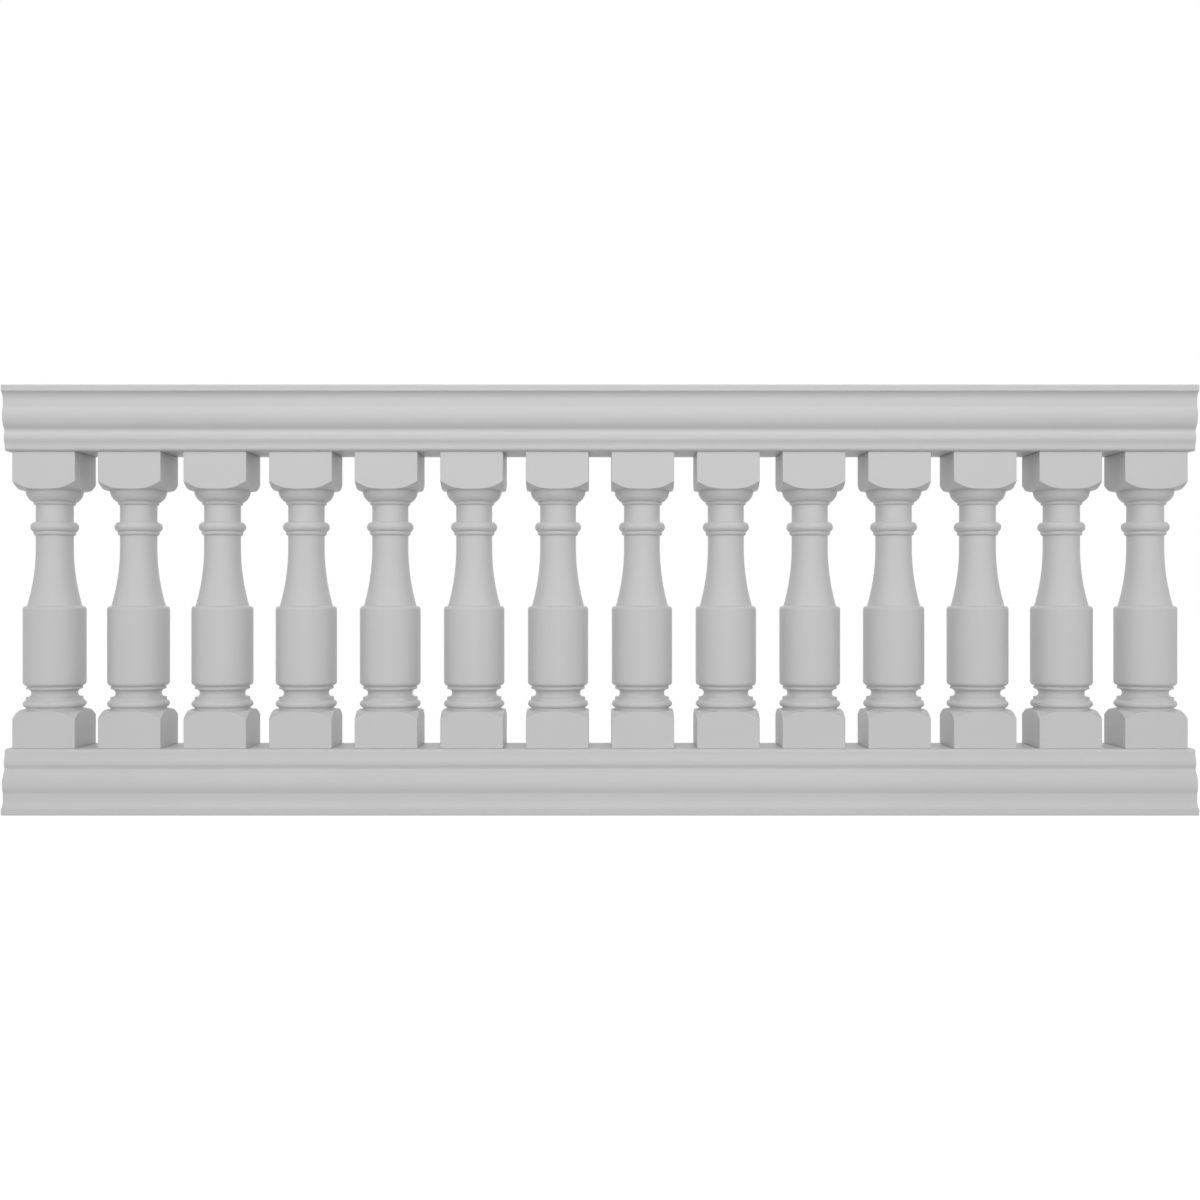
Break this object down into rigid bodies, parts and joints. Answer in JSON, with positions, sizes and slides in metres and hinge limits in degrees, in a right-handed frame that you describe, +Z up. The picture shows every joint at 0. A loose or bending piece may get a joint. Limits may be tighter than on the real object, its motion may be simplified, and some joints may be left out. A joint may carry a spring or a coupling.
{
  "type": "balustrade",
  "caption": "Straight balustrade bay: turned balusters with square end blocks stand between a moulded bottom rail and a matching top rail, on tube dowels.",
  "frame": {"origin": "middle of the bay's length and depth, on the underside of the bottom rail", "axes": "+X along the rails, +Y towards the back, +Z up; the front of the bay faces -Y"},
  "size_m": [2.433, 0.1836, 0.8756],
  "materials": {
    "rail_gelcoat": "smooth semi-matte light grey gelcoat over fibreglass",
    "baluster_gelcoat": "smooth semi-matte light grey gelcoat over fibreglass",
    "dowel_metal": "plain grey metal tube with a brushed surface"
  },
  "bodies": {
    "root": {"top_rail": "rail_gelcoat", "bottom_rail": "rail_gelcoat", "baluster_01": "baluster_gelcoat", "baluster_02": "baluster_gelcoat", "baluster_03": "baluster_gelcoat", "baluster_04": "baluster_gelcoat", "baluster_05": "baluster_gelcoat", "baluster_06": "baluster_gelcoat", "baluster_07": "baluster_gelcoat", "baluster_08": "baluster_gelcoat", "baluster_09": "baluster_gelcoat", "baluster_10": "baluster_gelcoat", "baluster_11": "baluster_gelcoat", "baluster_12": "baluster_gelcoat", "baluster_13": "baluster_gelcoat", "baluster_14": "baluster_gelcoat", "dowel_01": "dowel_metal", "dowel_02": "dowel_metal", "dowel_03": "dowel_metal", "dowel_04": "dowel_metal", "dowel_05": "dowel_metal", "dowel_06": "dowel_metal", "dowel_07": "dowel_metal", "dowel_08": "dowel_metal", "dowel_09": "dowel_metal", "dowel_10": "dowel_metal", "dowel_11": "dowel_metal", "dowel_12": "dowel_metal", "dowel_13": "dowel_metal", "dowel_14": "dowel_metal"}
  },
  "joints": []
}
